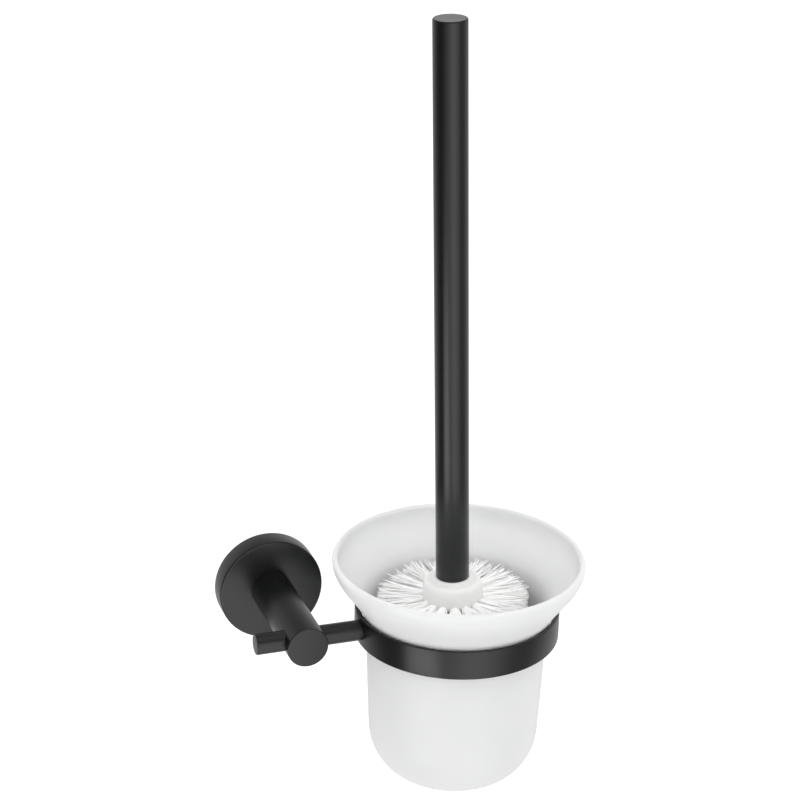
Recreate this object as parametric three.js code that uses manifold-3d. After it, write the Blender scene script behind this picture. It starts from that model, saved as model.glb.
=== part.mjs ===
// Wall-mounted toilet brush holder: a flange, a post and a cross rod carry a ring, a frosted glass
// cup rests in the ring, and a long-handled brush stands in the cup.
// Millimetres. The origin is the centre of the wall face, +X runs along the cross rod towards the
// ring, +Y points into the wall and +Z is up. The rod and the ring are level with the origin.
import * as THREE from "three";
import { mergeVertices } from "three/addons/utils/BufferGeometryUtils.js";
import Module from "manifold-3d";

const wasm = await Module();
wasm.setup();

// Clearances
const gap = 0.3; // between two pieces that seat on or pass through one another
const wallClearance = 1.4; // rim of the cup to the wall
const bracketPlay = 0.5; // flange cover slipped over the wall bracket
const bristlePlay = 1.1; // bristle ends to the inside of the cup, with the brush leaning

// Glass cup, measured up from its foot
const cupLowRadius = 41.6; // outside, just above the rounded bottom
const cupCornerWidth = 21.3; // rounded bottom, across
const cupCornerHeight = 25.6; // rounded bottom, up
const cupBodyHeight = 77.6; // foot to the start of the flare
const cupNeckRadius = 43.9; // outside, at the start of the flare
const cupFlareOut = 16.8; // how far the rim stands out past the neck
const cupFlareHeight = 35.5; // start of the flare to the middle of the lip
const cupWall = 3.5;
const cupFloor = 4.5;
const cupLip = 2; // radius of the rounded lip

// Holder ring
const ringHeight = 14.5;
const ringWall = 2.1;
const ringPlay = 3.5; // neck of the cup to the ring's bore
const ringSeat = 0.8; // bevel that the flare rests on
const ringEdge = 0.3;

// Cross rod and post
const rodRadius = 5;
const rodSpan = 28.65; // post axis to the ring
const rodTail = 23.1; // post axis to the free end
const postRadius = 10;
const postNose = 10.1; // rod axis to the front of the post
const edgeBevel = 0.5;

// Wall flange and the bracket inside it
const flangeRadius = 26;
const flangeDepth = 11;
const flangeWall = 2.5;
const flangeFace = 3;
const flangeEdge = 1;
const bracketRimWall = 3.5;
const bracketGroove = 1.2; // depth of the groove that the flange's grub screw bites into
const bracketRimRoom = 1; // bracket's rim to the inside of the flange's face
const bracketHeadRoom = 0.9; // bracket's disc to the head of the post's screw
const bracketHoleRadius = 2.4;
const bracketHoleSpread = 11; // bracket axis to each wall screw hole

// Fasteners
const grubRadius = 2;
const grubSink = 0.5; // below the surface it is turned into
const grubSocket = 1.1; // set screw's socket, centre to corner
const grubFlat = 0.4; // radius of the flat end of its cone
const rodDimple = 1;
const postScrewRadius = 3;
const postScrewHeadRadius = 5;
const postScrewHead = 3;
const postScrewBite = 15;
const postScrewSocket = 2.5;
const washerRadius = 6.5;
const washerThickness = 1;
const ringScrewRadius = 2;
const ringScrewHeadRadius = 3.8;
const ringScrewHead = 1.6;
const ringScrewSink = 0.2;
const ringScrewBite = 14;
const ringScrewSocket = 1.3;
const socketDepth = 1.4;

// Brush, measured up from the ends of its lowest bristles
const headHeight = 99.8; // lowest bristles to the end of the handle
const handleRadius = 8;
const handleLength = 273.5;
const handleWall = 1.2;
const handleEdge = 0.8;
const capThickness = 2.2;
const capPlug = 8;
const insertLength = 22;
const studRadius = 3;
const studInHandle = 15;
const studInHub = 18;
const studHoleSpare = 1; // the stud's two holes run this much past its ends
const hubRadius = 14.5;
const hubBottom = 14;
const hubRound = 10; // height of the hub's rounded bottom
const hubShoulder = 10; // handle end down to the hub's full radius
const bristleRows = 8;
const bristleTop = 89.5;
const bristlePitch = 9.1;
const bristleFootRadius = 8; // flat end of the lowest tuft
const leanAside = THREE.MathUtils.degToRad(2.05); // towards the post
const leanBack = THREE.MathUtils.degToRad(0.48); // towards the wall
const tipAside = 0.98; // foot of the brush from the cup's axis
const tipBack = 0.16;
const tipGap = 0.6; // lowest bristles to the floor of the cup

// Derived places
const rimRadius = cupNeckRadius + cupFlareOut;
const wallDistance = rimRadius + wallClearance; // wall to the axes of the rod, the ring and the cup
const ringBore = cupNeckRadius + ringPlay;
const ringRadius = ringBore + ringWall;
const ringX = rodSpan + ringRadius;
const postFront = wallDistance + postNose;
const bracketRadius = flangeRadius - flangeWall - bracketPlay;
const bracketRimHeight = flangeDepth - flangeFace - bracketRimRoom;
const postScrewSeat = flangeDepth - flangeFace - washerThickness - 2 * gap; // under its head
const bracketPlate = postScrewSeat - postScrewHead - bracketHeadRoom; // thickness of its disc
const grubLevel = (bracketPlate + bracketRimHeight) / 2; // wall to the flange's grub screw

// Finishes
const blackCoat = new THREE.MeshStandardMaterial({ color: 0x303031, roughness: 0.55, metalness: 0.4 });
const steel = new THREE.MeshStandardMaterial({ color: 0xb4b6b8, roughness: 0.35, metalness: 1 });
const zinc = new THREE.MeshStandardMaterial({ color: 0x9b9d9f, roughness: 0.5, metalness: 1 });
const frostedGlass = new THREE.MeshStandardMaterial({ color: 0xe8eae9, roughness: 0.6, metalness: 0 });
const whitePlastic = new THREE.MeshStandardMaterial({ color: 0xf0f0ee, roughness: 0.45, metalness: 0 });
const bristle = new THREE.MeshStandardMaterial({ color: 0xf4f4f2, roughness: 0.6, metalness: 0 });

// A closed mesh as a solid that can be joined and cut.
function solid(geometry) {
  const bare = geometry.clone();
  bare.deleteAttribute("normal");
  bare.deleteAttribute("uv");
  const merged = mergeVertices(bare, 1e-4);
  return new wasm.Manifold(
    new wasm.Mesh({
      numProp: 3,
      vertProperties: new Float32Array(merged.attributes.position.array),
      triVerts: new Uint32Array(merged.index.array),
    }),
  );
}

// What is left of a shape once each cutter is taken away.
function cut(geometry, ...cutters) {
  const left = cutters.reduce((body, cutter) => body.subtract(solid(cutter)), solid(geometry));
  const mesh = left.getMesh();
  const result = new THREE.BufferGeometry();
  result.setAttribute("position", new THREE.BufferAttribute(mesh.vertProperties, 3));
  result.setIndex(new THREE.BufferAttribute(mesh.triVerts, 1));
  const faceted = result.toNonIndexed();
  faceted.computeVertexNormals();
  return faceted;
}

// A turned shape: its outline is a path of (radius, height), followed anticlockwise.
function turned(outline, segments, divisions = 4) {
  return new THREE.LatheGeometry(outline.getPoints(divisions), segments);
}

// The same from corner points only.
function turnedCorners(corners, segments) {
  const points = corners.map(([radius, height]) => new THREE.Vector2(radius, height));
  return new THREE.LatheGeometry(points, segments);
}

// A turned shape's height runs up, out from the wall, or along the rod.
const upright = (geometry) => geometry.rotateX(Math.PI / 2);
const outward = (geometry) => geometry.rotateX(Math.PI);
const sideways = (geometry) => geometry.rotateZ(-Math.PI / 2);

// A plain round bar, or a six-sided one, from one height to another.
function bar(radius, low, high, segments = 24) {
  return new THREE.CylinderGeometry(radius, radius, high - low, segments).translate(0, (low + high) / 2, 0);
}
const hexBar = (cornerRadius, low, high) => bar(cornerRadius, low, high, 6);

// A headless set screw that points up, its socket end at the bottom.
function grubScrew(low, high) {
  const cone = grubRadius - grubFlat;
  const body = turnedCorners(
    [
      [0, low],
      [grubRadius, low],
      [grubRadius, high - cone],
      [grubFlat, high],
      [0, high],
    ],
    24,
  );
  return cut(body, hexBar(grubSocket, low - 1, low + socketDepth));
}

// Root disc with a raised rim, screwed to the wall. The flange cover slips over it.
function makeWallBracket() {
  const inner = bracketRadius - bracketRimWall;
  const disc = turnedCorners(
    [
      [0, 0],
      [bracketRadius, 0],
      [bracketRadius, grubLevel - bracketGroove],
      [bracketRadius - bracketGroove, grubLevel],
      [bracketRadius, grubLevel + bracketGroove],
      [bracketRadius, bracketRimHeight],
      [inner, bracketRimHeight],
      [inner, bracketPlate],
      [0, bracketPlate],
    ],
    48,
  );
  const holes = [-1, 1].map((side) =>
    bar(bracketHoleRadius, -1, bracketPlate + 1, 20).translate(side * bracketHoleSpread, 0, 0),
  );
  return outward(cut(disc, ...holes));
}

// Cup-shaped cover with a rounded front edge, a hole for the post's screw and one for its grub screw.
function makeFlangeCover() {
  const inner = flangeRadius - flangeWall;
  const hole = postScrewRadius + gap;
  const outline = new THREE.Path();
  outline.moveTo(inner, 0);
  outline.lineTo(flangeRadius, 0);
  outline.absarc(flangeRadius - flangeEdge, flangeDepth - flangeEdge, flangeEdge, 0, Math.PI / 2, false);
  outline.lineTo(hole, flangeDepth);
  outline.lineTo(hole, flangeDepth - flangeFace);
  outline.lineTo(inner, flangeDepth - flangeFace);
  outline.lineTo(inner, 0);
  const grubHole = upright(bar(grubRadius + gap, -flangeRadius - 1, -inner + 1)).translate(0, -grubLevel, 0);
  return cut(outward(turned(outline, 48, 2)), grubHole);
}

// The cone's flat end sits a clearance off the sides of the bracket's groove, which slope at 45 degrees.
function makeFlangeGrubScrew() {
  const tip = -(bracketRadius - bracketGroove + grubFlat) - gap * Math.SQRT2;
  return upright(grubScrew(-flangeRadius + grubSink, tip)).translate(0, -grubLevel, 0);
}

// Solid bar that stands out of the flange, bored across for the rod.
function makePost() {
  const back = flangeDepth + gap;
  const body = turnedCorners(
    [
      [0, back],
      [postRadius, back],
      [postRadius, postFront - edgeBevel],
      [postRadius - edgeBevel, postFront],
      [0, postFront],
    ],
    48,
  );
  const rodHole = sideways(bar(rodRadius + gap, -postRadius - 1, postRadius + 1, 36));
  const grubHole = upright(bar(grubRadius + gap, -postRadius - 1, 0));
  for (const hole of [rodHole, grubHole]) hole.translate(0, -wallDistance, 0);
  const screwHole = outward(bar(postScrewRadius + gap, back - 1, back + postScrewBite + 1));
  return cut(outward(body), rodHole, grubHole, screwHole);
}

// Washer and screw that hold the post against the front of the flange, from inside it.
function makePostWasher() {
  const top = flangeDepth - flangeFace - gap;
  const hole = postScrewRadius + gap;
  return outward(
    turnedCorners(
      [
        [hole, top - washerThickness],
        [washerRadius, top - washerThickness],
        [washerRadius, top],
        [hole, top],
        [hole, top - washerThickness],
      ],
      32,
    ),
  );
}

function makePostScrew() {
  const low = postScrewSeat - postScrewHead;
  const end = flangeDepth + gap + postScrewBite;
  const body = turnedCorners(
    [
      [0, low],
      [postScrewHeadRadius, low],
      [postScrewHeadRadius, postScrewSeat],
      [postScrewRadius, postScrewSeat],
      [postScrewRadius, end - edgeBevel],
      [postScrewRadius - edgeBevel, end],
      [0, end],
    ],
    32,
  );
  return outward(cut(body, hexBar(postScrewSocket, low - 1, low + socketDepth)));
}

// Rod through the post, hollowed at one end to fit round the ring.
function makeCrossRod() {
  const end = rodSpan + rodRadius;
  const body = turnedCorners(
    [
      [0, -rodTail],
      [rodRadius - edgeBevel, -rodTail],
      [rodRadius, -rodTail + edgeBevel],
      [rodRadius, end],
      [0, end],
    ],
    36,
  );
  const ringSide = upright(bar(ringRadius + gap, -rodRadius - 1, rodRadius + 1, 144)).translate(ringX, 0, 0);
  const screwHole = sideways(bar(ringScrewRadius + gap, rodSpan - ringScrewBite - 1, end + 1));
  const dimple = upright(bar(grubRadius + gap, -rodRadius - 1, -rodRadius + rodDimple));
  return cut(sideways(body), ringSide, screwHole, dimple);
}

function makeRodGrubScrew() {
  return upright(grubScrew(-postRadius + grubSink, -rodRadius + rodDimple - gap));
}

// Band with a bevel at the top of its bore for the cup, and a countersunk hole for its own screw.
function makeHolderRing() {
  const half = ringHeight / 2;
  const band = turnedCorners(
    [
      [ringBore, -half + ringEdge],
      [ringBore + ringEdge, -half],
      [ringRadius - ringEdge, -half],
      [ringRadius, -half + ringEdge],
      [ringRadius, half - ringEdge],
      [ringRadius - ringEdge, half],
      [ringBore + ringSeat, half],
      [ringBore, half - ringSeat],
      [ringBore, -half + ringEdge],
    ],
    72,
  );
  const widening = (ringScrewHeadRadius - ringScrewRadius) / ringScrewHead;
  const wide = ringWall + gap; // the cone runs this far, past the bore's curve
  const countersink = new THREE.CylinderGeometry(
    ringScrewRadius + gap + widening * (ringScrewHead + wide),
    ringScrewRadius + gap,
    ringScrewHead + wide,
    32,
  );
  const coneStart = -ringBore - ringScrewSink - ringScrewHead;
  countersink.translate(0, coneStart + (ringScrewHead + wide) / 2, 0);
  const hole = bar(ringScrewRadius + gap, -ringRadius - 1, -ringBore + 1);
  return cut(upright(band), sideways(countersink), sideways(hole));
}

// Countersunk screw from inside the ring into the end of the rod.
function makeRingScrew() {
  const face = -ringBore - ringScrewSink;
  const tip = -ringRadius - gap - ringScrewBite;
  const body = turnedCorners(
    [
      [0, tip],
      [ringScrewRadius - edgeBevel, tip],
      [ringScrewRadius, tip + edgeBevel],
      [ringScrewRadius, face - ringScrewHead],
      [ringScrewHeadRadius, face],
      [0, face],
    ],
    32,
  );
  return sideways(cut(body, hexBar(ringScrewSocket, face - socketDepth, face + 1)));
}

// The cup's outside from the neck to the lip, and its inside from the lip down to the neck.
const rimHeight = cupBodyHeight + cupFlareHeight;
const flareOutside = new THREE.CubicBezierCurve(
  new THREE.Vector2(cupNeckRadius, cupBodyHeight),
  new THREE.Vector2(cupNeckRadius + 0.06 * cupFlareOut, cupBodyHeight + 0.49 * cupFlareHeight),
  new THREE.Vector2(rimRadius, cupBodyHeight + 0.72 * cupFlareHeight),
  new THREE.Vector2(rimRadius, rimHeight),
);
const neckInside = cupNeckRadius - cupWall;
const lipInside = rimRadius - 2 * cupLip;
const flareInside = new THREE.CubicBezierCurve(
  new THREE.Vector2(lipInside, rimHeight),
  new THREE.Vector2(lipInside - 0.07 * cupFlareOut, cupBodyHeight + 0.66 * cupFlareHeight),
  new THREE.Vector2(neckInside + 0.03 * cupFlareOut, cupBodyHeight + 0.66 * cupFlareHeight),
  new THREE.Vector2(neckInside, cupBodyHeight + 0.04 * cupFlareHeight),
);

// Inside radius of the cup's body at a height above its foot.
function insideRadius(height) {
  const above = Math.min(Math.max(height - cupCornerHeight, 0) / (cupBodyHeight - cupCornerHeight), 1);
  const straight = cupLowRadius - cupWall + above * (cupNeckRadius - cupLowRadius);
  const below = Math.min(Math.max(cupCornerHeight - height, 0) / (cupCornerHeight - cupFloor), 1);
  return straight - (cupCornerWidth - cupWall) * (1 - Math.sqrt(1 - below * below));
}

// The ring's bevel touches the flare where the flare is as wide as the bore. The cup sits a
// clearance above that, measured square to the glass.
function cupSeatHeight() {
  let low = 0;
  let high = 1;
  for (let step = 0; step < 40; step++) {
    const middle = (low + high) / 2;
    if (flareOutside.getPoint(middle).x < ringBore) low = middle;
    else high = middle;
  }
  return flareOutside.getPoint(low).y - gap / flareOutside.getTangent(low).x;
}
const cupFoot = ringHeight / 2 - ringSeat - cupSeatHeight(); // height of the foot beside the origin

function makeGlassCup() {
  const footRadius = cupLowRadius - cupCornerWidth;
  const innerWidth = cupCornerWidth - cupWall;
  const innerHeight = cupCornerHeight - cupFloor;
  const outline = new THREE.Path();
  outline.moveTo(0, 0);
  outline.lineTo(footRadius, 0);
  outline.absellipse(footRadius, cupCornerHeight, cupCornerWidth, cupCornerHeight, -Math.PI / 2, 0, false);
  outline.lineTo(cupNeckRadius, cupBodyHeight);
  outline.curves.push(flareOutside);
  outline.currentPoint.copy(flareOutside.v3);
  outline.absarc(rimRadius - cupLip, rimHeight, cupLip, 0, Math.PI, false);
  outline.curves.push(flareInside);
  outline.currentPoint.copy(flareInside.v3);
  outline.lineTo(cupLowRadius - cupWall, cupCornerHeight);
  outline.absellipse(footRadius, cupCornerHeight, innerWidth, innerHeight, 0, -Math.PI / 2, true);
  outline.lineTo(0, cupFloor);
  return upright(turned(outline, 48, 4));
}

// Handle: a tube with a cap pressed in at the top and a threaded insert at the bottom.
const handleTop = headHeight + handleLength;
function makeHandleTube() {
  const bore = handleRadius - handleWall;
  const top = handleTop - capThickness - gap;
  const corners = [
    [bore, headHeight],
    [handleRadius, headHeight],
    [handleRadius, top],
    [bore, top],
    [bore, headHeight],
  ];
  return upright(turnedCorners(corners, 40));
}

function makeHandleEndCap() {
  const plug = handleRadius - handleWall - gap;
  const under = handleTop - capThickness;
  const outline = new THREE.Path();
  outline.moveTo(0, under - capPlug);
  outline.lineTo(plug, under - capPlug);
  outline.lineTo(plug, under);
  outline.lineTo(handleRadius, under);
  outline.absarc(handleRadius - handleEdge, handleTop - handleEdge, handleEdge, 0, Math.PI / 2, false);
  outline.lineTo(0, handleTop);
  return upright(turned(outline, 32, 2));
}

function makeHandleInsert() {
  const plug = handleRadius - handleWall - gap;
  const body = bar(plug, headHeight, headHeight + insertLength, 32);
  const hole = bar(studRadius + gap, headHeight - 1, headHeight + studInHandle + studHoleSpare);
  return upright(cut(body, hole));
}

function makeThreadedStud() {
  const low = headHeight - studInHub;
  const high = headHeight + studInHandle;
  const corners = [
    [0, low],
    [studRadius - edgeBevel, low],
    [studRadius, low + edgeBevel],
    [studRadius, high - edgeBevel],
    [studRadius - edgeBevel, high],
    [0, high],
  ];
  return upright(turnedCorners(corners, 24));
}

// Plastic core: a rounded bottom, a straight side that holds the tufts, and a shoulder that rises
// to a collar under the handle.
function makeBrushHub() {
  const top = headHeight - gap;
  const collar = handleRadius + 1;
  const bead = hubRadius - 3.4; // radius of the shoulder's upper edge
  const outline = new THREE.Path();
  outline.moveTo(0, hubBottom);
  outline.absellipse(0, hubBottom + hubRound, hubRadius, hubRound, -Math.PI / 2, 0, false);
  outline.lineTo(hubRadius, headHeight - hubShoulder);
  outline.quadraticCurveTo(hubRadius - 0.6, top - 3, bead + 1.2, top - 2);
  outline.quadraticCurveTo(bead, top - 0.6, collar + 0.8, top - 1.2);
  outline.lineTo(collar, top);
  outline.lineTo(0, top);
  const hole = bar(studRadius + gap, headHeight - studInHub - studHoleSpare, headHeight + 1);
  return upright(cut(turned(outline, 32, 3), hole));
}

// How far the leaning brush's axis is from the cup's axis, at a height on the brush.
function axisOffset(height) {
  return Math.hypot(tipAside - height * Math.sin(leanAside), tipBack + height * Math.sin(leanBack));
}

// Radius of the bristles at a height on the brush: what the cup leaves free there.
function bristleRadius(height) {
  const tilt = Math.hypot(Math.sin(leanAside), Math.sin(leanBack)) * cupLowRadius;
  return insideRadius(cupFloor + tipGap + height - tilt) - axisOffset(height) - bristlePlay;
}

// One row of tufts, as the closed ring that it fills round the hub.
function makeBristleRow(row) {
  const high = bristleTop - row * bristlePitch;
  const low = high - bristlePitch + gap;
  const root = hubRadius + gap;
  const corners = [
    [root, low],
    [bristleRadius(low), low],
    [bristleRadius(high), high],
    [root, high],
    [root, low],
  ];
  return upright(turnedCorners(corners, 32));
}

// The lowest tufts, under the hub's rounded bottom and shaped to the bottom of the cup.
function makeBristleTip() {
  const high = bristleTop - bristleRows * bristlePitch;
  const root = hubRadius + gap;
  const under = Math.min(hubBottom, high) - gap;
  const steps = 6;
  const side = [];
  for (let step = 1; step <= steps; step++) {
    const height = high * (step / steps) ** 2;
    side.push([Math.max(bristleRadius(height), bristleFootRadius), height]);
  }
  const corners = [[0, 0], [bristleFootRadius, 0], ...side, [root, high], [root, under], [0, under]];
  return upright(turnedCorners(corners, 32));
}

// Assembly
function place(parent, name, geometry, material, x = 0, y = 0, z = 0) {
  const mesh = new THREE.Mesh(geometry, material);
  mesh.name = name;
  mesh.position.set(x, y, z);
  parent.add(mesh);
}

const holder = new THREE.Group();
place(holder, "wall_bracket", makeWallBracket(), zinc);
place(holder, "flange_cover", makeFlangeCover(), blackCoat);
place(holder, "flange_grub_screw", makeFlangeGrubScrew(), steel);
place(holder, "post", makePost(), blackCoat);
place(holder, "post_washer", makePostWasher(), steel);
place(holder, "post_screw", makePostScrew(), steel);
place(holder, "cross_rod", makeCrossRod(), blackCoat, 0, -wallDistance, 0);
place(holder, "rod_grub_screw", makeRodGrubScrew(), steel, 0, -wallDistance, 0);
place(holder, "holder_ring", makeHolderRing(), blackCoat, ringX, -wallDistance, 0);
place(holder, "ring_screw", makeRingScrew(), steel, ringX, -wallDistance, 0);

const cup = new THREE.Group();
cup.position.set(ringX, -wallDistance, cupFoot);
place(cup, "glass_cup", makeGlassCup(), frostedGlass);

const brush = new THREE.Group();
brush.position.set(ringX + tipAside, -wallDistance + tipBack, cupFoot + cupFloor + tipGap);
brush.rotation.set(-leanBack, -leanAside, 0);
place(brush, "handle_tube", makeHandleTube(), blackCoat);
place(brush, "handle_end_cap", makeHandleEndCap(), blackCoat);
place(brush, "handle_insert", makeHandleInsert(), zinc);
place(brush, "threaded_stud", makeThreadedStud(), steel);
place(brush, "brush_hub", makeBrushHub(), whitePlastic);
for (let row = 0; row < bristleRows; row++) {
  place(brush, `bristle_row_${row + 1}`, makeBristleRow(row), bristle);
}
place(brush, "bristle_tip", makeBristleTip(), bristle);

const brushHolder = new THREE.Group();
brushHolder.add(holder, cup, brush);

export default brushHolder;
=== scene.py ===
import math
import random

import bmesh
import bpy
from mathutils import Matrix, Vector
from mathutils.geometry import interpolate_bezier


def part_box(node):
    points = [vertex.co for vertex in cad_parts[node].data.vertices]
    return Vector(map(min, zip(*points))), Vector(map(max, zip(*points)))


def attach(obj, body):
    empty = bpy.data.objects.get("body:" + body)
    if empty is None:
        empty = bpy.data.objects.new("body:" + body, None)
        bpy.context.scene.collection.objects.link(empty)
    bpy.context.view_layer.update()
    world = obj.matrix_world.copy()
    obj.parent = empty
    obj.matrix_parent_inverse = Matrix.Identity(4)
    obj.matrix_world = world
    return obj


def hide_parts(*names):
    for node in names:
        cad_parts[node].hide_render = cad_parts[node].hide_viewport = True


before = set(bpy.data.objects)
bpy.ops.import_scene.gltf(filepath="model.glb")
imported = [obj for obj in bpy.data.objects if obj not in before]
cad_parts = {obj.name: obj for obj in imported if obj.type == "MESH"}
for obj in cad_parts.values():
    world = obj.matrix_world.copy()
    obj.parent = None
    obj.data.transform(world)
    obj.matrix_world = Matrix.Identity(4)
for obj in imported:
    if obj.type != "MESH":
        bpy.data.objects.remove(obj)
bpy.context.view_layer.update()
print("frame loaded,", len(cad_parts), "nodes")

# Sizes in the dictionaries are millimetres, angles degrees. Places are taken from the frame.
mm = 0.001
quarterTurn = math.pi / 2
fullTurn = 2 * math.pi
past = 1  # how far a cutter reaches past what it cuts
pieces = []  # (object, body, node it stands for, slot)

# Steps round an outline's rounded corner, distances at which points are merged, and the angles past
# which the shading has an edge and a cut gets its bevel.
mesh = {"cornerSteps": 5, "merge": 0.001, "cutMerge": 0.002, "edgeAngle": 32, "bevelAngle": 40}


def middle(node):
    low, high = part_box(node)
    return (low + high) / 2


def size(node):
    low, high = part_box(node)
    return (high - low) / mm


# Local frames: heights run out from the wall, along the rod, up through the post where the rod crosses
# it, up from the ring's middle, or up from the cup's foot.
ringCentre = middle("holder_ring")
towardsRing = Matrix.Rotation(quarterTurn, 4, "Y")
outFromWall = Matrix.Rotation(quarterTurn, 4, "X")
alongRod = Matrix.Translation((0, ringCentre.y, ringCentre.z)) @ towardsRing
atRod = Matrix.Translation((0, ringCentre.y, 0))
aroundRing = Matrix.Translation(ringCentre)
upFromCup = Matrix.Translation((ringCentre.x, ringCentre.y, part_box("glass_cup")[0].z))


def toObject(bm, name, axis, smoothAngle=mesh["edgeAngle"]):
    bmesh.ops.transform(bm, matrix=axis @ Matrix.Scale(mm, 4), verts=bm.verts)
    skin = bpy.data.meshes.new(name)
    bm.to_mesh(skin)
    bm.free()
    skin.shade_smooth()
    skin.set_sharp_from_angle(angle=math.radians(smoothAngle))
    piece = bpy.data.objects.new(name, skin)
    bpy.context.scene.collection.objects.link(piece)
    return piece


# Spins an outline of (radius, height) or (radius, height, rounding) points round the local Z axis.
def turn(name, outline, axis, steps=96, closed=False, smoothAngle=mesh["edgeAngle"]):
    bm = bmesh.new()
    corners = [bm.verts.new((point[0], 0, point[1])) for point in outline]
    path = corners + corners[:1] if closed else corners
    for start, end in zip(path, path[1:]):
        bm.edges.new((start, end))
    for corner, point in zip(corners, outline):
        if len(point) > 2:
            bmesh.ops.bevel(bm, geom=[corner], offset=point[2], segments=mesh["cornerSteps"], profile=0.5,
                            affect="VERTICES", clamp_overlap=True, material=-1)
    bmesh.ops.spin(bm, geom=bm.verts[:] + bm.edges[:], cent=(0, 0, 0), axis=(0, 0, 1), dvec=(0, 0, 0),
                   angle=fullTurn, steps=steps, use_merge=True)
    bmesh.ops.remove_doubles(bm, verts=bm.verts, dist=mesh["merge"])
    bmesh.ops.recalc_face_normals(bm, faces=bm.faces)
    return toObject(bm, name, axis, smoothAngle)


def makeCutter(radius, low, high, axis, steps=48, radiusTop=None):
    bm = bmesh.new()
    bmesh.ops.create_cone(bm, cap_ends=True, segments=steps, radius1=radius,
                          radius2=radius if radiusTop is None else radiusTop, depth=high - low)
    bmesh.ops.translate(bm, vec=(0, 0, (low + high) / 2), verts=bm.verts)
    return toObject(bm, "cutter", axis)


# Cuts holes, then gives the new edges a small bevel.
def carve(piece, cutters, bevelWidth=0.15):
    for cutter in cutters:
        hole = piece.modifiers.new("hole", "BOOLEAN")
        hole.operation = "DIFFERENCE"
        hole.solver = "EXACT"
        hole.object = cutter
    depsgraph = bpy.context.evaluated_depsgraph_get()
    carved = bpy.data.meshes.new_from_object(piece.evaluated_get(depsgraph))
    piece.modifiers.clear()
    piece.data = carved
    carved.name = piece.name
    for cutter in cutters:
        bpy.data.objects.remove(cutter)
    bm = bmesh.new()
    bm.from_mesh(carved)
    bmesh.ops.remove_doubles(bm, verts=bm.verts, dist=mesh["cutMerge"] * mm)
    bmesh.ops.dissolve_degenerate(bm, edges=bm.edges, dist=mesh["cutMerge"] * mm)
    bm.to_mesh(carved)
    bm.free()
    carved.shade_smooth()
    carved.set_sharp_from_angle(angle=math.radians(mesh["edgeAngle"]))
    edge = piece.modifiers.new("edge", "BEVEL")
    edge.width = bevelWidth * mm
    edge.segments = 2
    edge.limit_method = "ANGLE"
    edge.angle_limit = math.radians(mesh["bevelAngle"])
    edge.harden_normals = True


def keep(piece, body, node, slot):
    pieces.append((piece, body, node, slot))


holder = {
    "flangeDepth": 11, "flangeWall": 2.5, "flangeFace": 3, "flangeEdge": 0.9, "flangeBackEdge": 0.3,
    "flangeInnerEdge": 0.2, "flangeFillet": 0.8,
    "bracketPlate": 2.5, "bracketRim": 7, "bracketRimWall": 3.5, "bracketGroove": 1.2,
    "bracketEdge": 0.4, "bracketBackEdge": 0.3, "bracketFillet": 0.8,
    "bracketHole": 2.4, "bracketHoleSpread": 11, "sinkDepth": 1.2, "sinkSpread": 2.2,
    "postEdge": 0.45, "postFootEdge": 0.15, "postScrewHole": 3.3, "postScrewDepth": 16,
    "rodEdge": 0.5, "rodPlay": 0.12, "screwHole": 2.3, "ringScrewDepth": 17,
    "ringWall": 2.1, "ringEdge": 0.35, "ringPlay": 0.03, "ringSinkDepth": 1.9, "ringSinkSpread": 1.5,
    "ringSeat": 0.55, "seatTopEdge": 0.15, "seatLowEdge": 0.2,
    "ringHoleOut": 4, "ringHoleIn": 2,  # how far the screw hole's cutter runs from the ring's inner side
}


def makeFlangeCover():
    radius = size("flange_cover").x / 2
    inner = radius - holder["flangeWall"]
    face = holder["flangeDepth"]
    screwHole = holder["postScrewHole"]
    cover = turn("flangeCover", [
        (inner, 0, holder["flangeInnerEdge"]), (radius, 0, holder["flangeBackEdge"]),
        (radius, face, holder["flangeEdge"]), (screwHole, face), (screwHole, face - holder["flangeFace"]),
        (inner, face - holder["flangeFace"], holder["flangeFillet"]),
    ], outFromWall, steps=144, closed=True)
    screwPlace = middle("flange_grub_screw")
    underFlange = Matrix.Translation((screwPlace.x, screwPlace.y, 0))
    carve(cover, [makeCutter(holder["screwHole"], -radius - past, -inner + past, underFlange)])
    keep(cover, "holder", "flange_cover", "black_coat")


def makeBracket():
    radius = size("wall_bracket").x / 2
    rimInside = radius - holder["bracketRimWall"]
    rim, plate, edge = holder["bracketRim"], holder["bracketPlate"], holder["bracketEdge"]
    hole, groove = holder["bracketHole"], holder["bracketGroove"]
    grooveHeight = -middle("flange_grub_screw").y / mm
    bracket = turn("wallBracket", [
        (0, 0), (radius, 0, holder["bracketBackEdge"]), (radius, grooveHeight - groove),
        (radius - groove, grooveHeight), (radius, grooveHeight + groove), (radius, rim, edge),
        (rimInside, rim, edge), (rimInside, plate, holder["bracketFillet"]), (0, plate),
    ], outFromWall, steps=120)
    cutters = []
    for side in (-1, 1):
        across = outFromWall @ Matrix.Translation((side * holder["bracketHoleSpread"] * mm, 0, 0))
        cutters.append(makeCutter(hole, -past, plate + past, across))
        cutters.append(makeCutter(hole, plate - holder["sinkDepth"], plate + past, across,
                                  radiusTop=hole + holder["sinkSpread"]))
    carve(bracket, cutters)
    keep(bracket, "holder", "wall_bracket", "bracket_zinc")


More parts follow.
